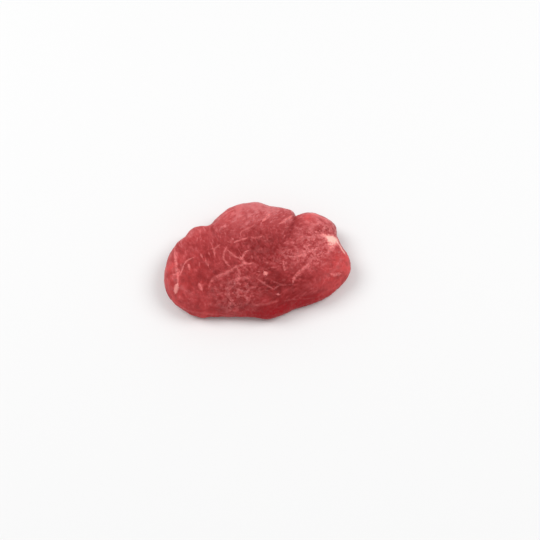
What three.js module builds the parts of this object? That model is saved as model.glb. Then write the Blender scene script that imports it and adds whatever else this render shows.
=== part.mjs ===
// A thick raw beef steak, cut across several muscles, lying flat on one cut face.
// Millimetres, +Z up. The origin is the middle of its footprint, on the face it rests on.
// +X runs along its length, and +Y towards the side with the deep notch.

import * as THREE from "three";
import { ImprovedNoise } from "three/addons/math/ImprovedNoise.js";

// Driving dimensions
const THICKNESS = 23.5;
const HALF_LENGTH = 69;
const HALF_DEPTH = 48;

// The widest outline, where the side bulges most, counterclockwise from the right end.
const OUTLINE = [
  [59.5, 13.5],
  [60, 23.5],
  [55.5, 30.5],
  [40.5, 37.5],
  [34, 35],
  [29.5, 32.5],
  [28, 39],
  [7, 44.5],
  [-1.5, 47.5],
  [-19, 44],
  [-24.5, 41.5],
  [-34.5, 30.5],
  [-37.5, 26],
  [-43.5, 23.5],
  [-48, 24],
  [-52.5, 22.5],
  [-57.5, 14],
  [-64, 7],
  [-68.5, -10],
  [-68, -25],
  [-59.5, -38.5],
  [-43, -47.5],
  [-32, -47],
  [-6, -47.5],
  [9, -49],
  [29, -40.5],
  [38, -37.5],
  [48.5, -33],
  [65.5, -17],
  [69.5, -4.5],
];

// The side, seen as a section: a shoulder above the bulge and a foot below it.
const BULGE_HEIGHT = 7.5;
const SHOULDER = { inset: 12, exponent: 2.15, rows: 8 };
const FOOT = { inset: 5.0, exponent: 2.0, rows: 5 };
const SIDE_RIPPLE = { height: 1.5, around: 15, upright: 9 };
const BULGE_WANDER = { share: 0.3, length: 23 };

// The top face: it falls a little to its rim and rolls gently, as soft meat does.
const RIM_FALL = 1.6;
const ROLL = [
  { height: 0.9, length: 19 },
  { height: 0.45, length: 8 },
];

// Muscles that stand proud of the cut face or sink below it.
const SWELLS = [
  { name: "upper lobe", at: [-4, 28], reach: 17, height: 1.1 },
  { name: "lobe past the notch", at: [44, 23], reach: 13, height: 1.5 },
  { name: "left lobe", at: [-46, -10], reach: 16, height: 0.8 },
  { name: "lower lobe", at: [-12, -29], reach: 15, height: 0.9 },
  { name: "right end", at: [52, -10], reach: 13, height: 0.8 },
  { name: "middle hollow", at: [2, -1], reach: 16, height: -1.0 },
];

// Grooves where two muscles meet. Each is deepest at its first point and fades out at its last.
const SEAMS = [
  { name: "notch seam", depth: 1.7, width: 4.4, path: [[30, 31], [27, 22], [24, 13], [19, 6], [13, -1]] },
  { name: "left notch seam", depth: 1.1, width: 4.2, path: [[-40, 20], [-33, 15], [-29, 7], [-26, 0]] },
  { name: "lower seam", depth: 0.8, width: 4.0, path: [[-34, -34], [-31, -26], [-22, -19], [-8, -13]] },
  { name: "tissue seam", depth: 1.2, width: 4.2, path: [[58, 6], [53, 7], [46, 10]] },
];

// The mesh: a square grid bent into a disc covers each face, and rows of quads cover the side.
// GRID_TURN turns the square so that its corners miss the notches.
const FACE_CELLS = 40;
const GRID_TURN = 0.055;
const OUTLINE_SAMPLES = 720;
const SEAM_SAMPLES = 24;

const noise = new ImprovedNoise();

const outline = new THREE.CatmullRomCurve3(
  OUTLINE.map(([x, y]) => new THREE.Vector3(x, y, 0)),
  true,
  "centripetal",
);
outline.arcLengthDivisions = OUTLINE_SAMPLES;
const startAngle = Math.atan2(OUTLINE[0][1], OUTLINE[0][0]);

// The outline's point at a share of the way round it, moved towards the origin by inset.
function rimPoint(way, inset) {
  const point = outline.getPointAt(THREE.MathUtils.euclideanModulo(way, 1));
  return point.setLength(point.length() - inset);
}

// The same for the plain oval that the rings of a face turn into towards its middle.
function ovalPoint(way, inset) {
  const angle = startAngle + 2 * Math.PI * way;
  const x = (HALF_LENGTH - inset) * Math.cos(angle);
  const y = (HALF_DEPTH - inset) * Math.sin(angle);
  return new THREE.Vector3(x, y, 0);
}

const seamLines = SEAMS.map((seam) => {
  const points = seam.path.map(([x, y]) => new THREE.Vector2(x, y));
  return { ...seam, points: new THREE.SplineCurve(points).getPoints(SEAM_SAMPLES) };
});

function seamDepth(x, y) {
  let depth = 0;
  for (const seam of seamLines) {
    seam.points.forEach((point, i) => {
      const fade = 1 - i / SEAM_SAMPLES;
      const away = Math.hypot(x - point.x, y - point.y) / seam.width;
      depth = Math.max(depth, seam.depth * Math.sqrt(fade) * Math.exp(-away * away));
    });
  }
  return depth;
}

// How far the top face has fallen towards its rim, from 0 at the origin to 1 at the outline.
function rimShare(x, y) {
  return Math.min(1, Math.hypot(x / HALF_LENGTH, y / HALF_DEPTH)) ** 3;
}

// Height of the top face above the face that it rests on.
function topHeight(x, y) {
  let height = THICKNESS - RIM_FALL * rimShare(x, y) - seamDepth(x, y);
  for (const { at, reach, height: rise } of SWELLS) {
    const away = Math.hypot(x - at[0], y - at[1]) / reach;
    height += rise * Math.exp(-away * away);
  }
  for (const roll of ROLL) {
    height += roll.height * noise.noise(x / roll.length, y / roll.length, roll.length);
  }
  return height;
}

// Bends the square from -1 to 1 into a disc with even cells, and gives a point's share of the
// way out to the rim and its share of the way round.
function discPoint(a, b) {
  const eighth = Math.PI / 4;
  const wide = Math.abs(a) > Math.abs(b);
  const radius = wide ? a : b;
  const turn = wide ? eighth * (b / a) : 2 * eighth - eighth * (a / (b || 1));
  const angle = Math.atan2(radius * Math.sin(turn), radius * Math.cos(turn));
  return { out: Math.abs(radius), way: GRID_TURN + angle / (2 * Math.PI) };
}

function facePoint(a, b, inset) {
  const { out, way } = discPoint(a, b);
  const point = ovalPoint(way, inset).lerp(rimPoint(way, inset), out ** 2);
  return point.multiplyScalar(out);
}

function quarter(exponent, angle) {
  const power = 2 / exponent;
  return { across: Math.cos(angle) ** power, up: Math.sin(angle) ** power };
}

// The side's rows from just under the top face down to just above the resting face.
function sideRows() {
  const rows = [];
  for (let k = 1; k <= SHOULDER.rows; k++) {
    const { across, up } = quarter(SHOULDER.exponent, (Math.PI / 2) * (1 - k / SHOULDER.rows));
    rows.push({ inset: SHOULDER.inset * (1 - across), above: up, below: 1 });
  }
  for (let k = 1; k < FOOT.rows; k++) {
    const { across, up } = quarter(FOOT.exponent, (Math.PI / 2) * (k / FOOT.rows));
    rows.push({ inset: FOOT.inset * (1 - across), above: 0, below: 1 - up });
  }
  return rows;
}

function sidePoint(a, b, row) {
  const { way } = discPoint(a, b);
  const edge = rimPoint(way, SHOULDER.inset);
  const edgeHeight = topHeight(edge.x, edge.y);
  const { x, y } = rimPoint(way, 0);
  const drift = noise.noise(x / BULGE_WANDER.length, y / BULGE_WANDER.length, 0);
  const bulge = BULGE_HEIGHT * (1 + BULGE_WANDER.share * drift);
  const z = bulge * row.below + (edgeHeight - bulge) * row.above;
  const wave = noise.noise(x / SIDE_RIPPLE.around, y / SIDE_RIPPLE.around, z / SIDE_RIPPLE.upright);
  const ripple = SIDE_RIPPLE.height * wave * Math.sin((Math.PI * z) / edgeHeight);
  return rimPoint(way, row.inset - ripple).setZ(z);
}

// The cells of the square's rim, counterclockwise, as [column, row] of the face grid.
function rimCells() {
  const n = FACE_CELLS;
  const cells = [];
  for (let i = 0; i < n; i++) cells.push([n, i]);
  for (let i = n; i > 0; i--) cells.push([i, n]);
  for (let i = n; i > 0; i--) cells.push([0, i]);
  for (let i = 0; i < n; i++) cells.push([i, 0]);
  return cells;
}

function steakGeometry() {
  const positions = [];
  const triangles = [];
  const add = (point) => positions.push(point.x, point.y, point.z) / 3 - 1;
  const gap = (i, j) => Math.hypot(...[0, 1, 2].map((k) => positions[3 * i + k] - positions[3 * j + k]));
  // Each quad is split along its shorter diagonal.
  const quad = (p, q, r, s) => {
    if (gap(p, r) < gap(q, s)) triangles.push(p, q, r, p, r, s);
    else triangles.push(q, r, s, q, s, p);
  };
  const across = (cell) => (2 * cell) / FACE_CELLS - 1;

  const face = (makePoint) => {
    const grid = [];
    for (let i = 0; i <= FACE_CELLS; i++) {
      grid.push([]);
      for (let j = 0; j <= FACE_CELLS; j++) grid[i].push(add(makePoint(across(i), across(j))));
    }
    return grid;
  };
  const top = face((a, b) => {
    const point = facePoint(a, b, SHOULDER.inset);
    return point.setZ(topHeight(point.x, point.y));
  });
  const bottom = face((a, b) => facePoint(a, b, FOOT.inset));
  for (let i = 0; i < FACE_CELLS; i++) {
    for (let j = 0; j < FACE_CELLS; j++) {
      quad(top[i][j], top[i + 1][j], top[i + 1][j + 1], top[i][j + 1]);
      quad(bottom[i][j], bottom[i][j + 1], bottom[i + 1][j + 1], bottom[i + 1][j]);
    }
  }

  const rim = rimCells();
  const loops = [rim.map(([i, j]) => top[i][j])];
  for (const row of sideRows()) {
    loops.push(rim.map(([i, j]) => add(sidePoint(across(i), across(j), row))));
  }
  loops.push(rim.map(([i, j]) => bottom[i][j]));
  for (let k = 0; k + 1 < loops.length; k++) {
    for (let i = 0; i < rim.length; i++) {
      const next = (i + 1) % rim.length;
      quad(loops[k][i], loops[k + 1][i], loops[k + 1][next], loops[k][next]);
    }
  }

  const geometry = new THREE.BufferGeometry();
  geometry.setAttribute("position", new THREE.Float32BufferAttribute(positions, 3));
  geometry.setIndex(triangles);
  return geometry;
}

// Puts the footprint's middle exactly on the origin.
function centre(geometry) {
  geometry.computeBoundingBox();
  const middle = geometry.boundingBox.getCenter(new THREE.Vector3());
  geometry.translate(-middle.x, -middle.y, 0);
  geometry.computeVertexNormals();
  return geometry;
}

const rawBeef = new THREE.MeshStandardMaterial({ color: 0xb94c4f, roughness: 0.42, metalness: 0 });
const steak = new THREE.Mesh(centre(steakGeometry()), rawBeef);
steak.name = "steak";

const model = new THREE.Group();
model.add(steak);

export default model;
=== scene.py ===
import math

import bmesh
import bpy
import numpy as np
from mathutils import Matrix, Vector, noise
from mathutils.bvhtree import BVHTree
from mathutils.kdtree import KDTree


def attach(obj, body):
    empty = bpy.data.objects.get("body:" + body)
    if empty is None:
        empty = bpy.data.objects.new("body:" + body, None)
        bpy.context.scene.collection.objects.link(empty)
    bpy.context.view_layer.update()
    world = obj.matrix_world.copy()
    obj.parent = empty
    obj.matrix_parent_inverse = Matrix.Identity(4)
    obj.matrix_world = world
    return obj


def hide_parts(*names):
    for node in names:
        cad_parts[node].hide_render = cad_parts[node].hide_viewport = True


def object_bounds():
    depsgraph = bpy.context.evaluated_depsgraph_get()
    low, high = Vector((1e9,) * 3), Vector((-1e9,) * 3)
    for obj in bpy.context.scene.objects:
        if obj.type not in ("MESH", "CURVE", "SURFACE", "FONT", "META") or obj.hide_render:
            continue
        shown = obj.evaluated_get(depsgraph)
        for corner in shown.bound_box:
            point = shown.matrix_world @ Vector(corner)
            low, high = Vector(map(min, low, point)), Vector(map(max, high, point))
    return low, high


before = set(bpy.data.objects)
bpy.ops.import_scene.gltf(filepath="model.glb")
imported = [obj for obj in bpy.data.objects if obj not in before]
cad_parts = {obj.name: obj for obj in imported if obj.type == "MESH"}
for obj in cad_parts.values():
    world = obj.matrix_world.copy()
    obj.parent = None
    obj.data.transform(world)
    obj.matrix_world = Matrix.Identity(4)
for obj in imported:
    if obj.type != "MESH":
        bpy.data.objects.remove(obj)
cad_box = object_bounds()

MM = 0.001
# The strewn flecks are drawn from this seed. The tables' own seeds each move a noise by this step.
SEED = 4813
NOISE_STEP = (7.3, 3.1, 5.7)

# The camera: where it aims on the floor, from how many degrees up, how far away, and with which
# lens. It sees nothing nearer than the last value, in metres.
AIM = (8.7, -4.8, 0.0)
CAMERA_ELEVATION = 60
CAMERA_DISTANCE = 455.6
LENS = 40
CLIP_START = 0.01

# The studio, in metres and watts: a pale floor, an even white surround, and two softboxes.
# Azimuth 0 is behind the camera, and 90 to its right.
FLOOR_SIZE = 12.0
FLOOR_GREY = (0.84, 0.84, 0.84, 1.0)
WHITE = (1.0, 1.0, 1.0, 1.0)
SURROUND_STRENGTH = 0.50
SOFTBOX_DISTANCE = 2.4
SOFTBOX_SIZE = 1.4
SOFTBOXES = [
    {"name": "key", "azimuth": -104, "elevation": 52, "power": 27},
    {"name": "second", "azimuth": 100, "elevation": 50, "power": 25},
]

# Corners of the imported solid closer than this, in metres, are one, and each of its faces is split
# in four this many times.
WELD_DISTANCE = 1e-6
SUBDIVISIONS = 2

# Each muscle: the middle of it on the cut face, how far its fibres lean from upright and
# towards which direction, in degrees.
MUSCLES = [
    {"name": "upper lobe", "at": (-5.8, 29.2), "lean": 64, "towards": 42},
    {"name": "lobe past the notch", "at": (44.2, 25.1), "lean": 40, "towards": 20},
    {"name": "left lobe", "at": (-46.2, -5.9), "lean": 70, "towards": -72},
    {"name": "lower lobe", "at": (-14.7, -31.9), "lean": 25, "towards": -60},
    {"name": "middle", "at": (-5.0, 1.8), "lean": 60, "towards": -62},
    {"name": "right", "at": (36.0, -5.9), "lean": 45, "towards": 50},
    {"name": "front right", "at": (16.9, -31.9), "lean": 66, "towards": 15},
    {"name": "right end", "at": (62.1, -9.3), "lean": 50, "towards": 10},
]
# The borders between muscles wander by so much, over such a length.
MUSCLE_WARP = {"reach": 5, "length": 16, "seeds": (1, 2)}

# A fibre bundle is this many times longer than it is thick, and each muscle's grain starts this
# far from the last one's.
FIBRE_DRAW = 4.0
GRAIN_GAP = 40.0

# Lighter and darker areas: the middle, how far they reach, and how light. The darker middle is the meat's
# own tone. The rest is partly painted light: the far rims and upper lobes are lighter, as if lit from
# behind, and the front is darker, as painted shade.
TONES_AND_PAINTED_LIGHT = [
    {"name": "dark middle", "at": (0.9, 0.9), "reach": 17, "amount": -0.55},
    {"name": "dark front", "at": (9.8, -30.0), "reach": 13, "amount": -0.7},
    {"name": "front of the dark front", "at": (12.0, -42.0), "reach": 9, "amount": -0.4},
    {"name": "front of the lower lobe", "at": (-15.0, -42.5), "reach": 8, "amount": -0.25},
    {"name": "front left", "at": (-35.8, -38.0), "reach": 11, "amount": -0.2},
    {"name": "front right", "at": (29.1, -32.0), "reach": 12, "amount": -0.5},
    {"name": "front end", "at": (50.2, -23.0), "reach": 12, "amount": -0.2},
    {"name": "dark left of the notch", "at": (19.9, 11.0), "reach": 9, "amount": -0.15},
    {"name": "upper lobe", "at": (-13.7, 32.4), "reach": 19, "amount": 0.8},
    {"name": "left of the notch", "at": (13.7, 32.7), "reach": 13, "amount": 0.58},
    {"name": "lower lobe", "at": (-16.4, -33.3), "reach": 15, "amount": -0.35},
    {"name": "lobe past the notch", "at": (43.4, 24.3), "reach": 13, "amount": 0.52},
    {"name": "right", "at": (39.9, 0.9), "reach": 17, "amount": 0.42},
    {"name": "left rim", "at": (-65.8, -8.0), "reach": 13, "amount": 0.1},
    {"name": "left lobe", "at": (-47.0, -20.0), "reach": 17, "amount": -0.5},
    # Painted highlights: the far rims, lit from behind.
    {"name": "far rim", "at": (3.2, 46.0), "reach": 12, "amount": 0.5},
    {"name": "far rim past the notch", "at": (44.2, 38.0), "reach": 10, "amount": 0.5},
    {"name": "far left", "at": (-46.2, 16.7), "reach": 13, "amount": 0.42},
    {"name": "lobe spot one", "at": (36.5, 16.5), "reach": 1.8, "amount": -0.6},
    {"name": "lobe spot two", "at": (45.8, 15.1), "reach": 2.2, "amount": -0.7},
    {"name": "lobe spot three", "at": (51.2, 17.3), "reach": 2.0, "amount": -0.7},
    {"name": "lobe spot four", "at": (49.1, 20.9), "reach": 1.6, "amount": -0.5},
]

# Painted glow: thin edges made bright red, as where light shines through them.
PAINTED_GLOWS = [
    {"name": "left rim", "at": (-64.0, -18.0), "reach": 15, "amount": 0.55},
    {"name": "left lobe", "at": (-48.0, -24.0), "reach": 20, "amount": 0.2},
    {"name": "front left rim", "at": (-57.0, -43.5), "reach": 9, "amount": 0.6},
    {"name": "front of the lower lobe", "at": (-36.0, -52.5), "reach": 10, "amount": 0.7},
    {"name": "front of the middle", "at": (-14.0, -52.0), "reach": 8, "amount": 0.35},
    {"name": "far left", "at": (-50.2, 20.0), "reach": 14, "amount": 0.35},
    {"name": "upper left", "at": (-26.2, 36.0), "reach": 12, "amount": 0.4},
    {"name": "top of the lobe past the notch", "at": (38.1, 28.0), "reach": 6, "amount": 0.6},
    {"name": "right end", "at": (65.0, -11.5), "reach": 10, "amount": 0.95},
    {"name": "front end", "at": (55.0, -29.0), "reach": 13, "amount": 0.75},
]

# A moist milky film lies on the cut face here, with painted sheen: its pale net, blots and specks also stand
# for light reflected from the moist bumps.
FILMS_AND_SHEEN = [
    {"name": "middle", "at": (2.0, -8.0), "reach": 14, "amount": 0.25},
    {"name": "upper lobe", "at": (-6.0, 30.0), "reach": 20, "amount": 0.4},
    {"name": "right", "at": (39.8, 4.3), "reach": 13, "amount": 1.15},
    {"name": "below it", "at": (42.0, -7.6), "reach": 8, "amount": 0.85},
    {"name": "past the notch", "at": (45.4, 19.3), "reach": 9, "amount": 0.7},
    {"name": "rim past the notch", "at": (55.7, 19.9), "reach": 7, "amount": 0.8},
    {"name": "right of the middle", "at": (21.9, -7.6), "reach": 8, "amount": 0.8},
    {"name": "lower lobe", "at": (-14.3, -35.0), "reach": 15, "amount": 0.72},
    {"name": "front of the lower lobe", "at": (-17.0, -49.0), "reach": 8, "amount": 0.5},
]

# Where the deep red of the side, partly its own colour and partly painted shade, reaches up over the edge
# of the cut face or, where the amount is below 0, starts lower down. At the front it reaches up as painted
# shade.
WALL_AND_SHADE_SHIFTS = [
    {"name": "front", "at": (6.6, -50.0), "reach": 8, "amount": 0.5},
    {"name": "right of it", "at": (18.4, -46.8), "reach": 8, "amount": 0.35},
    {"name": "front right", "at": (29.0, -43.5), "reach": 7, "amount": 0.2},
    {"name": "front of the lower lobe", "at": (-18.0, -49.5), "reach": 9, "amount": -0.5},
    {"name": "rim past the notch", "at": (55.7, 19.9), "reach": 7, "amount": -0.4},
]

# Where pale connective tissue lies on the right end.
TISSUE = [
    {"name": "inner end", "at": (48.6, 11.2), "reach": 2.6, "amount": 0.55},
    {"name": "middle", "at": (52.4, 9.2), "reach": 3.2, "amount": 0.85},
    {"name": "core", "at": (56.2, 7.0), "reach": 4.0, "amount": 1.15},
    {"name": "haze", "at": (53.6, 3.0), "reach": 4.6, "amount": 0.6},
]

# The names that the material reads these areas by.
AREAS = {"tone_and_light": TONES_AND_PAINTED_LIGHT, "film_and_sheen": FILMS_AND_SHEEN, "painted_glow": PAINTED_GLOWS, "tissue": TISSUE}

# Where the pale tissue stands proud of the rim, by so many millimetres.
BULGES = [
    {"name": "tissue at the rim", "at": (56.9, 9.2), "reach": 6.5, "amount": 1.6},
]

# The main marbling: half its width, how pale it is, and its way over the cut face. One that is
# less pale than 0 is a crease, painted dark as shade.
VEINS = [
    {"name": "left line", "half": 0.78, "pale": 0.6, "way": [
        (-60.9, 2.5), (-60.5, -1.2), (-59.7, -8.1), (-58.1, -14.8), (-56.8, -21.4), (-56.0, -29.0)]},
    {"name": "left fork", "half": 0.56, "pale": 0.5, "way": [
        (-45.6, -7.2), (-50.5, -9.7), (-52.8, -12.7), (-53.9, -17.3), (-55.0, -21.6)]},
    {"name": "left tick", "half": 0.62, "pale": 0.5, "way": [(-60.8, -21.4), (-54.4, -21.9)]},
    {"name": "left foot", "half": 1.6, "pale": 0.72, "way": [
        (-56.4, -28.5), (-57.0, -32.0), (-57.4, -37.2)]},
    {"name": "thick fleck", "half": 1.0, "pale": 0.55, "way": [(-41.6, -28.9), (-38.9, -35.0)]},
    {"name": "lower seam", "half": 1.0, "pale": 0.44, "way": [
        (-34.1, -32.5), (-32.8, -27.4), (-29.6, -23.8), (-24.2, -21.2), (-18.9, -18.2),
        (-14.6, -14.8), (-7.8, -13.0)]},
    {"name": "seam branch", "half": 0.7, "pale": 0.36, "way": [
        (-14.6, -16.0), (-13.3, -19.5), (-12.1, -21.5)]},
    {"name": "below the seam", "half": 0.9, "pale": 0.42, "way": [
        (-16.8, -27.0), (-14.0, -25.4), (-11.5, -24.0)]},
    {"name": "middle branch", "half": 0.85, "pale": 0.58, "way": [
        (-12.9, -6.4), (-11.3, -9.3), (-8.8, -12.6), (-3.4, -12.2)]},
    {"name": "middle rise", "half": 0.62, "pale": 0.6, "way": [(-11.4, -9.0), (-9.2, -3.1), (-6.5, -1.2)]},
    {"name": "net left", "half": 0.66, "pale": 0.42, "way": [
        (-22.4, 2.6), (-24.4, -3.0), (-24.6, -8.6), (-22.2, -12.5), (-19.5, -14.6)]},
    {"name": "net cross", "half": 0.56, "pale": 0.45, "way": [
        (-23.4, 0.0), (-18.6, -4.6), (-15.4, -7.2), (-11.7, -8.9)]},
    {"name": "net fleck", "half": 0.7, "pale": 0.42, "way": [(-34.6, -0.3), (-30.8, 1.3), (-27.8, 3.8)]},
    {"name": "upper hook", "half": 0.75, "pale": 0.32, "way": [
        (-3.4, 20.4), (-8.2, 17.4), (-12.8, 14.4), (-12.9, 11.2)]},
    {"name": "right slant", "half": 0.85, "pale": 0.5, "way": [
        (24.9, -28.7), (26.1, -24.2), (29.4, -20.1), (33.8, -15.6), (37.5, -11.8)]},
    {"name": "right high", "half": 0.62, "pale": 0.5, "way": [(25.4, -7.1), (30.4, -5.8), (35.2, -4.2)]},
    {"name": "low dash", "half": 0.6, "pale": 0.35, "way": [(-0.5, -25.2), (5.5, -29.8), (12.1, -34.3)]},
    {"name": "second dash", "half": 0.5, "pale": 0.28, "way": [(10.3, -26.7), (16.4, -29.8), (20.9, -30.4)]},
    # The bright spot is a fleck of fat and a painted highlight, a blurred glint on the moist surface.
    {"name": "bright spot", "half": 1.1, "pale": 0.68, "way": [(4.5, -19.0), (6.5, -22.4)]},
    {"name": "low spot", "half": 1.0, "pale": 0.55, "way": [(13.3, -37.4), (15.6, -38.1)]},
    {"name": "front line", "half": 0.75, "pale": 0.28, "way": [
        (-3.1, -46.0), (5.9, -45.0), (15.0, -42.8)]},
    {"name": "front right line", "half": 0.62, "pale": 0.24, "way": [
        (18.4, -42.2), (25.4, -41.4), (32.4, -41.0), (39.4, -40.2)]},
    {"name": "top fleck", "half": 0.88, "pale": 0.62, "way": [(2.8, 23.7), (4.8, 26.1), (8.8, 31.2)]},
    {"name": "notch line", "half": 0.75, "pale": 0.62, "way": [(15.1, 21.7), (20.9, 25.6), (26.4, 29.8)]},
    {"name": "top dash", "half": 0.62, "pale": 0.5, "way": [(-18.1, 5.1), (-13.2, 7.6), (-7.5, 9.4)]},
    {"name": "second top dash", "half": 0.62, "pale": 0.45, "way": [(-2.8, 8.9), (3.1, 10.8)]},
    {"name": "right spot", "half": 1.12, "pale": 0.6, "way": [(51.6, -21.0), (54.5, -21.7), (59.1, -21.0)]},
    {"name": "right rim line", "half": 0.7, "pale": 0.8, "way": [
        (57.8, 6.0), (59.8, 2.2), (61.7, -1.4), (63.6, -5.2)]},
    {"name": "lobe rim line", "half": 1.3, "pale": 0.5, "way": [
        (36.7, 30.8), (42.0, 30.9), (46.8, 28.1), (54.1, 23.6)]},
    # Painted highlight along the moist foot of the front-left edge, on the thin membrane there.
    {"name": "foot line", "half": 1.0, "pale": 0.28, "way": [
        (-55.1, -44.5), (-49.2, -48.9), (-41.5, -51.6), (-32.5, -52.9), (-24.2, -53.5), (-15.3, -53.8)]},
    {"name": "tissue", "half": 1.0, "pale": 0.65, "way": [
        (44.4, 12.1), (48.0, 11.4), (51.8, 9.8), (55.4, 7.4), (58.6, 4.8)]},
    {"name": "tissue fan", "half": 1.1, "pale": 0.5, "way": [
        (57.9, 4.4), (54.9, 3.9), (52.2, 0.5), (50.9, -3.8)]},
    {"name": "second tissue fan", "half": 1.0, "pale": 0.4, "way": [
        (58.6, 4.8), (55.5, 1.3), (53.8, -3.0)]},
    {"name": "fleck one", "half": 0.75, "pale": 0.55, "way": [(-50.1, -12.6), (-48.5, -18.2)]},
    {"name": "fleck two", "half": 0.62, "pale": 0.45, "way": [(-42.0, -3.6), (-39.9, -8.0)]},
    {"name": "fleck three", "half": 0.75, "pale": 0.5, "way": [(-37.6, -9.0), (-35.4, -14.9)]},
    {"name": "fleck four", "half": 0.62, "pale": 0.45, "way": [(-32.8, 0.1), (-30.9, -6.6)]},
    {"name": "right short", "half": 0.62, "pale": 0.45, "way": [(18.4, -11.6), (19.6, -19.2)]},
    {"name": "second right short", "half": 0.62, "pale": 0.45, "way": [(38.4, -12.6), (36.1, -16.0)]},
    {"name": "notch crease", "half": 1.4, "pale": -0.7, "way": [
        (28.1, 30.2), (25.9, 21.7), (23.6, 14.2), (19.9, 8.1), (16.1, 2.2)]},
    {"name": "left notch crease", "half": 1.1, "pale": -0.6, "way": [
        (-34.6, 20.3), (-32.6, 14.2), (-28.4, 6.7)]},
]
# The height of the face that the ways and middles above were read on, looking from the camera.
READ_HEIGHT = 23.0

# Points on a vein are about this far apart, and wander to the side by so much, over such a length.
VEIN_STEP = 1.0
VEIN_WOBBLE = {"reach": 0.5, "length": 3.5, "seeds": (3, 4)}
# A vein's width is uneven by up to this share, over such a length, and half of it has a least.
VEIN_WIDTH = {"uneven": 0.5, "length": 2.6, "least": 0.06, "seed": 5}
# How far from its line a vein is laid: so many times half its width, and so much more.
VEIN_REACH = {"widths": 1.6, "more": 2.0}
# The place beside the nearest vein of a point that has none near it.
NO_VEIN = 9.0

# Short flecks of fat strewn over the whole surface. They lie along the fibres, give or take a
# turn in radians, and bend by up to a share of their length. They fade towards the rim, which is
# given as shares of half the steak's length and depth.
HALF_SIZE = (69.0, 48.6)
FLECKS = {
    "count": 420,
    "length": (1.4, 4.4),
    "half": (0.34, 0.66),
    "pale": (0.12, 0.42),
    "turn": 0.35,
    "bend": 0.06,
    "points": 6,
    "rim": (0.55, 0.85),
    "rim_fade": 0.6,
}

# The fine relief: how high it is, and how long its features are. The fibre bundles have grooves
# between them, up to this share of a bundle, and fat rises from so far outside a vein's edge to
# its full height so far inside.
BUNDLES = {"height": 0.16, "length": 5.5, "groove": 0.45}
STRANDS = {"height": 0.05, "length": 1.7, "seed": 6}
SWELL = {"height": 0.20, "length": 6.0, "seed": 7}
FAT = {"height": 0.12, "outside": 0.5, "inside": -0.2}
# The ribs of the side stand upright and its folds lie level, so their lengths are drawn out
# that way. This share of the fibres' relief is left out there.
RIBS = {"height": 0.32, "length": 2.6, "seed": 8}
RIB_DRAW = (1.0, 1.0, 0.22)
FOLDS = {"height": 0.35, "length": 3.6, "seed": 9}
FOLD_DRAW = (0.35, 0.35, 1.0)
SIDE_CALM = 0.5
# How level the surface is, from 0 for upright to 1, where the side starts and where it is whole.
SIDE_FACING = (0.6, 0.1)
# The face that the steak rests on: how far the surface faces down, of 1, where it starts and where
# it is whole, how much of its relief is pressed out, and how far it is drawn in.
RESTING = {"facing": (0.75, 0.97), "pressed": 0.65, "drawn_in": 0.35}
# The surface is evened this many times to find its hollows, which are darkened as painted shade.
HOLLOW_ROUNDS = 24


def unit(vectors):
    return vectors / np.linalg.norm(vectors, axis=-1, keepdims=True)


def smooth_step(value, low, high):
    share = np.clip((value - low) / (high - low), 0, 1)
    return share * share * (3 - 2 * share)


def noise_at(points, length, seed):
    """Smooth noise from -1 to 1 at each point, with features of about this length."""
    shift = Vector([seed * step for step in NOISE_STEP])
    return np.array([noise.noise(Vector(p) / length + shift) for p in points])


def cell_edges(points, length):
    """0 on the borders of irregular cells of about this size, rising to about 1 inside them."""
    distances = [noise.voronoi(Vector(p) / length)[0] for p in points]
    return np.array([d[1] - d[0] for d in distances])


# The fine mesh

def dense_mesh(node):
    """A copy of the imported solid, welded, turned back to quads and subdivided smoothly."""
    work = bmesh.new()
    work.from_mesh(node.data)
    bmesh.ops.remove_doubles(work, verts=work.verts, dist=WELD_DISTANCE)
    bmesh.ops.join_triangles(
        work, faces=work.faces, angle_face_threshold=math.pi, angle_shape_threshold=math.pi
    )
    coarse = bpy.data.meshes.new("steak_coarse")
    work.to_mesh(coarse)
    work.free()
    holder = bpy.data.objects.new("steak_coarse", coarse)
    bpy.context.collection.objects.link(holder)
    holder.modifiers.new("subdivision", "SUBSURF").levels = SUBDIVISIONS
    evaluated = holder.evaluated_get(bpy.context.evaluated_depsgraph_get())
    fine = bpy.data.meshes.new_from_object(evaluated)
    bpy.data.objects.remove(holder)
    bpy.data.meshes.remove(coarse)
    return fine


def read_points(mesh):
    points = np.zeros(len(mesh.vertices) * 3)
    mesh.vertices.foreach_get("co", points)
    return points.reshape(-1, 3) / MM


def read_normals(mesh):
    normals = np.zeros(len(mesh.vertices) * 3)
    mesh.vertices.foreach_get("normal", normals)
    return normals.reshape(-1, 3)


def read_edges(mesh):
    edges = np.zeros(len(mesh.edges) * 2, int)
    mesh.edges.foreach_get("vertices", edges)
    return edges.reshape(-1, 2)


def write_points(mesh, points):
    mesh.vertices.foreach_set("co", (points * MM).astype(np.float32).ravel())
    mesh.update()


def evened(points, edges, times):
    """The points after each has moved to the mean of its neighbours this many times."""
    ends = np.concatenate([edges[:, 0], edges[:, 1]])
    others = np.concatenate([edges[:, 1], edges[:, 0]])
    counts = np.bincount(ends, minlength=len(points))
    for _ in range(times):
        sums = [np.bincount(ends, points[others, k], len(points)) for k in range(3)]
        points = np.stack(sums, axis=1) / counts[:, None]
    return points


# Muscles and their fibres

def fibre_axes(muscle):
    """Two directions across the muscle's fibres and one along them."""
    lean = math.radians(muscle["lean"])
    towards = math.radians(muscle["towards"])
    along = np.array([
        math.sin(lean) * math.cos(towards),
        math.sin(lean) * math.sin(towards),
        math.cos(lean),
    ])
    level = np.array([-math.sin(towards), math.cos(towards), 0.0])
    return np.stack([level, np.cross(along, level), along])


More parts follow.
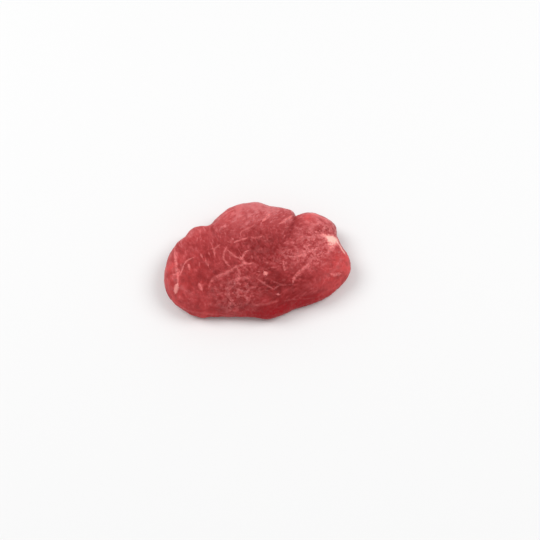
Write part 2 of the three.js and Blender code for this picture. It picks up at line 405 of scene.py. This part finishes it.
def muscle_of(points):
    """The number of the muscle that each point belongs to."""
    x, y = (
        points[:, axis] + MUSCLE_WARP["reach"] * noise_at(points, MUSCLE_WARP["length"], seed)
        for axis, seed in enumerate(MUSCLE_WARP["seeds"])
    )
    away = [np.hypot(x - m["at"][0], y - m["at"][1]) for m in MUSCLES]
    return np.argmin(away, axis=0)


def grain_place(points, muscles):
    """Each point's place in its muscle, with lengths along the fibres drawn together."""
    place = np.zeros_like(points)
    for number, muscle in enumerate(MUSCLES):
        own = muscles == number
        along_fibres = points[own] @ fibre_axes(muscle).T
        along_fibres[:, 2] /= FIBRE_DRAW
        place[own] = along_fibres + GRAIN_GAP * number
    return place


# Marbling

def curve_through(way, step):
    """Points about a step apart on a Catmull-Rom curve through the points of the way."""
    way = np.array(way, float)
    padded = np.vstack([2 * way[0] - way[1], way, 2 * way[-1] - way[-2]])
    found = []
    for before, start, end, after in zip(padded, padded[1:], padded[2:], padded[3:]):
        count = max(2, round(np.linalg.norm(end - start) / step))
        for t in np.arange(count) / count:
            bend = 2 * before - 5 * start + 4 * end - after
            twist = 3 * start - before - 3 * end + after
            found.append(start + 0.5 * t * (end - before + t * (bend + t * twist)))
    return np.vstack([found, way[-1]])


def camera_place():
    height = math.radians(CAMERA_ELEVATION)
    back = Vector((0.0, -math.cos(height), math.sin(height)))
    return Vector(AIM) + back * CAMERA_DISTANCE


def seen_on(tree, place):
    """Where the camera's line through a point at the reading height meets the surface, or the
    surface's nearest point to it."""
    eye, point = camera_place(), Vector((*place, READ_HEIGHT))
    return tree.ray_cast(eye, point - eye)[0] or tree.find_nearest(point)[0]


def main_veins(tree):
    """The lines of the main marbling on the surface, with a slight wobble."""
    lines = []
    for vein in VEINS:
        plan = curve_through(vein["way"], VEIN_STEP)
        flat = np.column_stack([plan, np.zeros(len(plan))])
        for axis, seed in enumerate(VEIN_WOBBLE["seeds"]):
            plan[:, axis] += VEIN_WOBBLE["reach"] * noise_at(flat, VEIN_WOBBLE["length"], seed)
        line = np.array([seen_on(tree, place) for place in plan])
        lines.append({"line": line, "half": vein["half"], "pale": vein["pale"]})
    return lines


def rim_share(point):
    """0 in the middle of the steak, rising to 1 towards its rim."""
    out = math.hypot(point[0] / HALF_SIZE[0], point[1] / HALF_SIZE[1])
    return float(smooth_step(out, *FLECKS["rim"]))


def turned(way, aside, angle):
    """Two directions at right angles, both turned in their plane."""
    cos, sin = math.cos(angle), math.sin(angle)
    return way * cos + aside * sin, aside * cos - way * sin


def strewn_flecks(tree, points, normals, muscles):
    """Short flecks at random places, each along the fibres as they meet the surface."""
    draw = np.random.default_rng(SEED)
    along = np.array([fibre_axes(m)[2] for m in MUSCLES])
    shares = np.linspace(-0.5, 0.5, FLECKS["points"])
    lines = []
    for spot in draw.choice(len(points), FLECKS["count"], replace=False):
        normal, fibre = normals[spot], along[muscles[spot]]
        way = unit(fibre - normal * (fibre @ normal))
        way, aside = turned(way, np.cross(normal, way), draw.normal(0, FLECKS["turn"]))
        length = draw.uniform(*FLECKS["length"])
        bend = draw.uniform(-FLECKS["bend"], FLECKS["bend"]) * length
        line = []
        for share in shares:
            place = points[spot] + way * length * share + aside * bend * (1 - 4 * share * share)
            line.append(tree.find_nearest(Vector(place))[0])
        half = draw.uniform(*FLECKS["half"])
        pale = draw.uniform(*FLECKS["pale"]) * (1 - FLECKS["rim_fade"] * rim_share(points[spot]))
        lines.append({"line": np.array(line), "half": half, "pale": pale})
    return lines


def half_widths(line, half):
    """Half the vein's width at each of its points: uneven, and pinched to nothing at both ends."""
    share = np.linspace(0, 1, len(line))
    taper = np.clip(4 * share * (1 - share), 0, 1) ** 0.5
    waves = noise_at(line, VEIN_WIDTH["length"], VEIN_WIDTH["seed"])
    uneven = 1 + VEIN_WIDTH["uneven"] * waves
    return np.maximum(VEIN_WIDTH["least"], half * taper * uneven)


def indexed(points):
    """A tree that finds the points near a place."""
    index = KDTree(len(points))
    for number, point in enumerate(points):
        index.insert(point, number)
    index.balance()
    return index


def beside_vein(points, normals, line, widths):
    """Each point's place beside the vein's nearest stretch: how many half widths to its left or
    right, and how far outside it in millimetres."""
    start, run = line[:-1], np.diff(line, axis=0)
    offset = points[:, None] - start[None]
    share = np.clip((offset * run).sum(2) / (run * run).sum(1), 0, 1)
    gap = offset - share[..., None] * run
    distance = np.linalg.norm(gap, axis=2)
    best = distance.argmin(axis=1)
    row = np.arange(len(points))
    width = widths[best] + share[row, best] * np.diff(widths)[best]
    beside = np.cross(unit(run)[best], normals)
    signed = (gap[row, best] * beside).sum(1)
    return signed / width, distance[row, best] - width


def lay_veins(points, normals, lines):
    """For each point of the mesh, its place beside the nearest vein: how many half widths to its
    left or right, how far outside it in millimetres, and how pale the vein is."""
    across = np.full(len(points), NO_VEIN)
    outside = np.full(len(points), NO_VEIN)
    pale = np.zeros(len(points))
    index = indexed(points)
    for vein in lines:
        line = vein["line"]
        reach = vein["half"] * VEIN_REACH["widths"] + VEIN_REACH["more"]
        near = {found[1] for spot in line for found in index.find_range(spot, reach)}
        ids = np.array(sorted(near))
        widths = half_widths(line, vein["half"])
        aside, past = beside_vein(points[ids], normals[ids], line, widths)
        closer = past < outside[ids]
        chosen = ids[closer]
        across[chosen] = np.clip(aside, -NO_VEIN, NO_VEIN)[closer]
        outside[chosen] = past[closer]
        pale[chosen] = vein["pale"]
    return across, outside, pale


# Relief and shading areas

def patches(tree, points, table):
    """The sum of soft round patches on the surface."""
    total = np.zeros(len(points))
    for patch in table:
        middle = np.array(seen_on(tree, patch["at"]))
        away = np.linalg.norm(points - middle, axis=1) / patch["reach"]
        total += patch["amount"] * np.exp(-away * away)
    return total


def rolling(form, points):
    """Smooth relief of this form's height and length."""
    return form["height"] * noise_at(points, form["length"], form["seed"])


def relief(points, place, side, outside):
    """How far the surface stands out from the smooth form, in millimetres."""
    cells = cell_edges(place, BUNDLES["length"])
    bundles = BUNDLES["height"] * smooth_step(cells, 0.0, BUNDLES["groove"])
    face = bundles + rolling(STRANDS, place)
    swell = rolling(SWELL, points)
    ribs = rolling(RIBS, points * RIB_DRAW)
    folds = rolling(FOLDS, points * FOLD_DRAW)
    fat = FAT["height"] * smooth_step(outside, FAT["outside"], FAT["inside"])
    return swell + face * (1 - SIDE_CALM * side) + (ribs + folds) * side + fat


def pressed(height, normals):
    """The relief, most of it pressed out of the face that the steak rests on."""
    under = smooth_step(-normals[:, 2], *RESTING["facing"])
    return height * (1 - RESTING["pressed"] * under) - RESTING["drawn_in"] * under


def fitted(points, low, high):
    """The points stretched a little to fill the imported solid's box exactly."""
    start, end = points.min(axis=0), points.max(axis=0)
    return low + (points - start) / (end - start) * (high - low)


def write_values(mesh, name, values):
    attribute = mesh.attributes.new(name, "FLOAT", "POINT")
    attribute.data.foreach_set("value", values.astype(np.float32))


def write_grain(mesh, points):
    """Each face corner's place in its muscle, so that the grain changes sharply between muscles."""
    corners = np.zeros(len(mesh.loops), int)
    mesh.loops.foreach_get("vertex_index", corners)
    middles = np.zeros(len(mesh.polygons) * 3)
    mesh.polygons.foreach_get("center", middles)
    totals = np.zeros(len(mesh.polygons), int)
    mesh.polygons.foreach_get("loop_total", totals)
    muscles = np.repeat(muscle_of(middles.reshape(-1, 3) / MM), totals)
    attribute = mesh.attributes.new("grain", "FLOAT_VECTOR", "CORNER")
    grain = grain_place(points[corners], muscles)
    attribute.data.foreach_set("vector", grain.astype(np.float32).ravel())


def steak_mesh():
    """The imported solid's fine copy, with its relief, and with the values that its colours need."""
    mesh = dense_mesh(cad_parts["steak"])
    mesh.name = "steak_meat"
    low, high = (np.array(corner) / MM for corner in cad_box)
    points, normals, edges = read_points(mesh), read_normals(mesh), read_edges(mesh)
    muscles = muscle_of(points)
    place = grain_place(points, muscles)
    polygons = [tuple(p.vertices) for p in mesh.polygons]
    tree = BVHTree.FromPolygons([Vector(p) for p in points], polygons)
    lines = main_veins(tree) + strewn_flecks(tree, points, normals, muscles)
    across, outside, pale = lay_veins(points, normals, lines)
    side = smooth_step(np.abs(normals[:, 2]), *SIDE_FACING)

    height = relief(points, place, side, outside) + patches(tree, points, BULGES)
    shaped = fitted(points + normals * pressed(height, normals)[:, None], low, high)
    write_points(mesh, shaped)
    # How deep each point lies in a hollow, for the painted shade there.
    hollow_shade = ((evened(shaped, edges, HOLLOW_ROUNDS) - shaped) * normals).sum(axis=1)

    write_grain(mesh, points)
    write_values(mesh, "vein_across", across)
    write_values(mesh, "vein_outside", outside)
    write_values(mesh, "vein_pale", pale)
    for name, table in AREAS.items():
        write_values(mesh, name, patches(tree, points, table))
    # The side's deep red, partly painted shade, reaches up over the front edge where the shifts put it.
    write_values(mesh, "side", np.clip(side + patches(tree, points, WALL_AND_SHADE_SHIFTS), 0, 1))
    write_values(mesh, "hollow_shade", hollow_shade)
    mesh.polygons.foreach_set("use_smooth", np.ones(len(mesh.polygons), bool))
    return mesh


# Materials

class Shader:
    """Builds a material's nodes. A call that adds nodes returns the socket of the last one."""

    def __init__(self, name):
        self.material = bpy.data.materials.new(name)
        self.material.use_nodes = True
        self.nodes = self.material.node_tree.nodes
        self.links = self.material.node_tree.links
        self.surface = self.nodes["Principled BSDF"]

    def put(self, socket, value):
        if isinstance(value, bpy.types.NodeSocket):
            self.links.new(value, socket)
        else:
            socket.default_value = value

    def add(self, kind, inputs, output=0, **settings):
        node = self.nodes.new(kind)
        for name, value in settings.items():
            setattr(node, name, value)
        for name, value in inputs.items():
            self.put(node.inputs[name], value)
        return node.outputs[output]

    def set(self, **inputs):
        """Sets the surface's inputs, named in small letters with underscores."""
        for name, value in inputs.items():
            label = name.replace("_", " ").title().replace("Ior", "IOR")
            self.put(self.surface.inputs[label], value)

    def value(self, name):
        return self.add("ShaderNodeAttribute", {}, "Fac", attribute_name=name)

    def vector(self, name):
        return self.add("ShaderNodeAttribute", {}, "Vector", attribute_name=name)

    def sum(self, *terms):
        """The sum of the terms. A term is a socket, or a pair of a socket and its weight."""
        total = 0.0
        for term in terms:
            socket, weight = term if isinstance(term, tuple) else (term, 1.0)
            total = self.add("ShaderNodeMath", {0: socket, 1: weight, 2: total}, operation="MULTIPLY_ADD")
        return total

    def times(self, first, second):
        return self.add("ShaderNodeMath", {0: first, 1: second}, operation="MULTIPLY")

    def band(self, value, low, high, start=0.0, end=1.0):
        """Goes smoothly from start to end as the value goes from low to high."""
        if low > high:
            low, high, start, end = high, low, end, start
        inputs = {"Value": value, "From Min": low, "From Max": high, "To Min": start, "To Max": end}
        return self.add("ShaderNodeMapRange", inputs, interpolation_type="SMOOTHSTEP")

    def noise(self, place, length, detail=2.0, output=0):
        inputs = {"Vector": place, "Scale": 1 / length, "Detail": detail}
        return self.add("ShaderNodeTexNoise", inputs, output)

    def edges(self, place, length):
        """The distance to the border of irregular cells, as a share of their size."""
        inputs = {"Vector": place, "Scale": 1 / length}
        return self.add("ShaderNodeTexVoronoi", inputs, feature="DISTANCE_TO_EDGE")

    def mix(self, share, first, second):
        """A mix of two colours, which this node takes as inputs 6 and 7 and gives as output 2."""
        inputs = {0: share, 6: first, 7: second}
        return self.add("ShaderNodeMix", inputs, 2, data_type="RGBA")

    def move(self, place, by, reach):
        """The place, moved by a noise colour up to this far either way."""
        centred = self.add("ShaderNodeVectorMath", {0: by, 1: (0.5, 0.5, 0.5)}, operation="SUBTRACT")
        far = self.add("ShaderNodeVectorMath", {0: centred, "Scale": 2 * reach}, operation="SCALE")
        return self.add("ShaderNodeVectorMath", {0: place, 1: far}, operation="ADD")

    def ramp(self, share, stops):
        socket = self.add("ShaderNodeValToRGB", {"Fac": share})
        ramp = socket.node.color_ramp
        while len(ramp.elements) < len(stops):
            ramp.elements.new(0.5)
        for element, (place, colour) in zip(ramp.elements, stops):
            element.position = place
            element.color = (*colour, 1.0)
        return socket


# The meat's colours, from its darkest red to its palest.
MEAT_STOPS = [
    (0.0, (0.13, 0.002, 0.003)),
    (0.35, (0.25, 0.016, 0.0175)),
    (0.62, (0.37, 0.041, 0.044)),
    (0.85, (0.48, 0.087, 0.092)),
    (1.0, (0.60, 0.155, 0.160)),
]
FILM_AND_SHEEN_PINK = (0.74, 0.20, 0.20, 1.0)
PAINTED_GLOW_RED = (0.68, 0.066, 0.066, 1.0)
FAT_PINK = (0.86, 0.235, 0.23, 1.0)
FAT_CREAM = (0.90, 0.58, 0.49, 1.0)
CREASE_SHADE_RED = (0.17, 0.003, 0.006, 1.0)
WALL_AND_SHADE_RED = (0.37, 0.004, 0.010, 1.0)
SKIN_PALE = (0.62, 0.24, 0.23, 1.0)

# The size of each pattern in millimetres. The wall's patterns are drawn out upright.
PATTERN = {
    "wander": 2.4,
    "bundles": 3.2,
    "strands": 1.3,
    "clouds": 5.5,
    "patches": 6.5,
    "flecks": 2.7,
    "threads": 4.6,
    "thread_runs": 3.4,
    "film_and_sheen_net": 3.6,
    "film_and_sheen_blots": 3.8,
    "film_and_sheen_specks": 2.1,
    "wall_streaks": 1.3,
    "wall_skin": 5.0,
    "vein_edges": 1.1,
    "vein_gaps": 2.3,
    "torn_tissue": 1.6,
    "shine": 2.0,
    "grit": 0.45,
    "wall_ribs": 0.9,
}
WALL_DRAW = (1.0, 1.0, 0.18)
# How far the borders of the fibre bundles, and of the net of the film and painted sheen, wander.
BUNDLE_WANDER = 0.55
NET_WANDER = 2.0
# The whole range of the noise at the edges of veins, in half widths, and of the pale tissue.
VEIN_ROUGH = 1.5
TISSUE_ROUGH = 1.5

# How much each of these lightens the meat, or darkens it where it is below 0. The hollows and the side are
# darkened as painted shade, and the lighter and darker areas hold painted light as well as the meat's own
# tone.
SHADE = {
    "base": 0.50,
    "tone_and_light": 0.42,
    "strands": 0.18,
    "clouds": 0.46,
    "borders": 0.13,
    "flecks": 0.18,
    "threads": 0.20,
    "hollow_shade": -0.4,
    "side": -0.06,
    "film_and_sheen": -0.10,
}
# How much of its colour each of these lays on.
FILM_AND_SHEEN_COVER = {"net": 0.12, "blots": 0.38, "specks": 0.4}
WALL_COVER = {"streaks": 0.45, "skin": 0.2}
CREASE_SHADE_COVER = 0.65
TISSUE_COVER = {"pink": 0.75, "cream": 0.85}
# What makes the surface rougher or smoother.
ROUGHNESS = {"base": 0.30, "shine": 0.24, "fat": 0.08, "film_and_sheen": -0.06, "crease": 0.2}
# The heights of the finest relief in millimetres, and how much of it shows.
BUMPS = {"strands": 0.05, "bundles": 0.04, "grit": 0.03, "wall_ribs": 0.05, "fat": 0.06}
BUMP_STRENGTH = 0.8


def centred(noise_value, weight):
    """Terms of a sum: a noise that goes evenly above and below 0, with this weight."""
    return (noise_value, weight), (1.0, -weight / 2)


def vein_masks(s, place):
    """Where the marbling is: its share of the surface, and how pale it is there."""
    rough = s.noise(place, PATTERN["vein_edges"], detail=3.0)
    across = s.add("ShaderNodeMath", {0: s.value("vein_across")}, operation="ABSOLUTE")
    line = s.band(s.sum(across, *centred(rough, VEIN_ROUGH)), 2.2, 0.1)
    close = s.band(s.value("vein_outside"), 1.3, 0.3)
    pale = s.value("vein_pale")
    gaps = s.sum(s.noise(place, PATTERN["vein_gaps"]), (s.band(pale, 0.6, 0.8), 0.3))
    broken = s.band(gaps, 0.36, 0.54, 0.35, 1.0)
    return s.times(s.times(line, close), broken), pale


def threads(s, place):
    """Fine meandering lines, where a noise crosses its middle value, broken into short runs."""
    level = s.sum(*centred(s.noise(place, PATTERN["threads"], detail=3.0), 1.0))
    away = s.add("ShaderNodeMath", {0: level}, operation="ABSOLUTE")
    runs = s.band(s.noise(place, PATTERN["thread_runs"], detail=1.0), 0.48, 0.62)
    return s.times(s.band(away, 0.07, 0.005), runs)


def meat_colour(s, place, grain, cells, strands, clouds):
    """The lean meat: light and dark areas, partly painted light, strands, pale borders of the bundles,
    flecks, and painted shade in the hollows and on the side.
    """
    borders = s.band(cells, 0.22, 0.02)
    patchy = s.band(s.noise(place, PATTERN["patches"]), 0.42, 0.62)
    flecks = s.band(s.noise(grain, PATTERN["flecks"]), 0.53, 0.70)
    shade = s.sum(
        (1.0, SHADE["base"]),
        (s.value("tone_and_light"), SHADE["tone_and_light"]),
        *centred(strands, SHADE["strands"]),
        *centred(clouds, SHADE["clouds"]),
        (s.times(borders, patchy), SHADE["borders"]),
        (flecks, SHADE["flecks"]),
        (threads(s, grain), SHADE["threads"]),
        # Painted shade: darker in the hollows and on the side.
        (s.value("hollow_shade"), SHADE["hollow_shade"]),
        (s.value("side"), SHADE["side"]),
        (s.value("film_and_sheen"), SHADE["film_and_sheen"]),
    )
    return s.ramp(shade, MEAT_STOPS)


def with_film_and_sheen(s, colour, place, wander):
    """The milky film and painted sheen: a fine net, blots and specks, pale partly as light reflected off a
    moist surface.
    """
    film_and_sheen = s.value("film_and_sheen")
    net = s.edges(s.move(place, wander, NET_WANDER), PATTERN["film_and_sheen_net"])
    blots = s.band(s.noise(place, PATTERN["film_and_sheen_blots"]), 0.46, 0.59)
    specks = s.band(s.noise(place, PATTERN["film_and_sheen_specks"], detail=1.5), 0.56, 0.67)
    share = s.sum(
        (s.times(s.band(net, 0.22, 0.0), film_and_sheen), FILM_AND_SHEEN_COVER["net"]),
        (s.times(blots, film_and_sheen), FILM_AND_SHEEN_COVER["blots"]),
        (s.times(specks, film_and_sheen), FILM_AND_SHEEN_COVER["specks"]),
    )
    return s.mix(share, colour, FILM_AND_SHEEN_PINK)


def with_wall(s, colour, upright):
    """The side: a deep red, partly its own colour and partly painted shade, with streaks of the meat's
    colour and paler skin. It shows less under the painted glow of light through a thin edge."""
    streaks = s.band(s.noise(upright, PATTERN["wall_streaks"], detail=3.0), 0.35, 0.7)
    wall = s.mix(s.times(streaks, WALL_COVER["streaks"]), WALL_AND_SHADE_RED, colour)
    skin = s.band(s.noise(upright, PATTERN["wall_skin"]), 0.55, 0.75)
    wall = s.mix(s.times(skin, WALL_COVER["skin"]), wall, SKIN_PALE)
    share = s.times(s.value("side"), s.band(s.value("painted_glow"), 0.0, 1.0, 0.9, 0.3))
    return s.mix(share, colour, wall)


def with_painted_glow(s, colour, clouds):
    """Painted glow: the bright red of light shining through thin edges."""
    return s.mix(s.times(s.value("painted_glow"), s.band(clouds, 0.3, 0.7, 0.4, 1.0)), colour, PAINTED_GLOW_RED)


def with_fat(s, colour, pale, cover, crease):
    """The marbling, which goes from pink to cream as it gets paler, and the creases, painted dark as shade.
    """
    fat = s.mix(s.band(pale, 0.58, 1.0), FAT_PINK, FAT_CREAM)
    colour = s.mix(cover, colour, fat)
    return s.mix(s.times(crease, CREASE_SHADE_COVER), colour, CREASE_SHADE_RED)


def with_tissue(s, colour, place):
    """The pale connective tissue, with torn edges and a cream core."""
    rough = s.noise(place, PATTERN["torn_tissue"], detail=3.0)
    torn = s.sum(s.value("tissue"), *centred(rough, TISSUE_ROUGH))
    colour = s.mix(s.times(s.band(torn, 0.15, 0.85), TISSUE_COVER["pink"]), colour, FAT_PINK)
    return s.mix(s.times(s.band(torn, 0.5, 1.3), TISSUE_COVER["cream"]), colour, FAT_CREAM)


def beef_roughness(s, place, cover, crease):
    """How dull the surface is: patchy, duller on fat and in creases, and moist under the film."""
    return s.sum(
        (1.0, ROUGHNESS["base"]),
        (s.noise(place, PATTERN["shine"], detail=3.0), ROUGHNESS["shine"]),
        (cover, ROUGHNESS["fat"]),
        (s.value("film_and_sheen"), ROUGHNESS["film_and_sheen"]),
        (crease, ROUGHNESS["crease"]),
    )


def beef_bumps(s, place, upright, cells, strands, cover):
    """The finest relief, as a change of the surface's normal."""
    height = s.sum(
        (strands, BUMPS["strands"]),
        (s.band(cells, 0.0, 0.25), BUMPS["bundles"]),
        (s.noise(place, PATTERN["grit"]), BUMPS["grit"]),
        (s.noise(upright, PATTERN["wall_ribs"]), BUMPS["wall_ribs"]),
        (cover, BUMPS["fat"]),
    )
    inputs = {"Height": height, "Distance": MM, "Strength": BUMP_STRENGTH}
    return s.add("ShaderNodeBump", inputs)


def beef_material():
    s = Shader("raw_beef")
    metres = s.add("ShaderNodeTexCoord", {}, "Object")
    place = s.add("ShaderNodeVectorMath", {0: metres, "Scale": 1 / MM}, operation="SCALE")
    upright = s.add("ShaderNodeVectorMath", {0: place, 1: WALL_DRAW}, operation="MULTIPLY")
    wander = s.noise(place, PATTERN["wander"], output="Color")
    grain = s.move(s.vector("grain"), wander, BUNDLE_WANDER)
    cells = s.edges(grain, PATTERN["bundles"])
    strands = s.noise(grain, PATTERN["strands"])
    clouds = s.noise(place, PATTERN["clouds"])
    veins, pale = vein_masks(s, place)
    cover = s.times(veins, s.band(pale, 0.0, 1.0))
    crease = s.times(veins, s.band(pale, 0.0, -1.0))

    colour = meat_colour(s, place, grain, cells, strands, clouds)
    colour = with_film_and_sheen(s, colour, place, wander)
    colour = with_wall(s, colour, upright)
    colour = with_painted_glow(s, colour, clouds)
    colour = with_fat(s, colour, pale, cover, crease)
    colour = with_tissue(s, colour, place)
    side = s.value("side")
    s.set(
        base_color=colour,
        roughness=beef_roughness(s, place, cover, crease),
        normal=beef_bumps(s, place, upright, cells, strands, cover),
        subsurface_weight=0.18,
        subsurface_radius=(1.0, 0.22, 0.18),
        subsurface_scale=2.2 * MM,
        sheen_weight=0.02,
        sheen_roughness=0.25,
        coat_weight=s.band(side, 0.0, 1.0, 0.05, 0.02),
        coat_roughness=0.16,
        specular_ior_level=s.band(side, 0.0, 1.0, 0.15, 0.06),
    )
    return s.material


def floor_material():
    s = Shader("pale_floor")
    s.set(base_color=FLOOR_GREY, roughness=0.85, specular_ior_level=0.2)
    return s.material


# The scene

def add_steak():
    steak = bpy.data.objects.new("steak_meat", steak_mesh())
    bpy.context.collection.objects.link(steak)
    steak.data.materials.clear()
    steak.data.materials.append(beef_material())
    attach(steak, "root")
    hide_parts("steak")


def add_floor():
    bpy.ops.mesh.primitive_plane_add(size=FLOOR_SIZE)
    floor = bpy.context.object
    floor.name = "floor"
    floor.data.materials.append(floor_material())


def add_camera():
    camera = bpy.data.objects.new("camera", bpy.data.cameras.new("camera"))
    bpy.context.collection.objects.link(camera)
    camera.data.lens = LENS
    camera.data.clip_start = CLIP_START
    camera.location = camera_place() * MM
    looking = Vector(AIM) * MM - camera.location
    camera.rotation_euler = looking.to_track_quat("-Z", "Y").to_euler()
    bpy.context.scene.camera = camera


def add_softbox(name, azimuth, elevation, power):
    """A round area light aimed at the steak."""
    light = bpy.data.lights.new(name, "AREA")
    light.shape = "DISK"
    light.size = SOFTBOX_SIZE
    light.energy = power
    softbox = bpy.data.objects.new(name, light)
    bpy.context.collection.objects.link(softbox)
    turn, height = math.radians(azimuth), math.radians(elevation)
    level = math.cos(height)
    away = Vector((level * math.sin(turn), -level * math.cos(turn), math.sin(height)))
    softbox.location = SOFTBOX_DISTANCE * away
    softbox.rotation_euler = (-softbox.location).to_track_quat("-Z", "Y").to_euler()


def add_light():
    world = bpy.data.worlds.new("studio")
    world.use_nodes = True
    background = world.node_tree.nodes["Background"]
    background.inputs["Color"].default_value = WHITE
    background.inputs["Strength"].default_value = SURROUND_STRENGTH
    bpy.context.scene.world = world
    for softbox in SOFTBOXES:
        add_softbox(**softbox)
    bpy.context.scene.view_settings.view_transform = "Standard"


add_camera()
add_light()
add_floor()
add_steak()
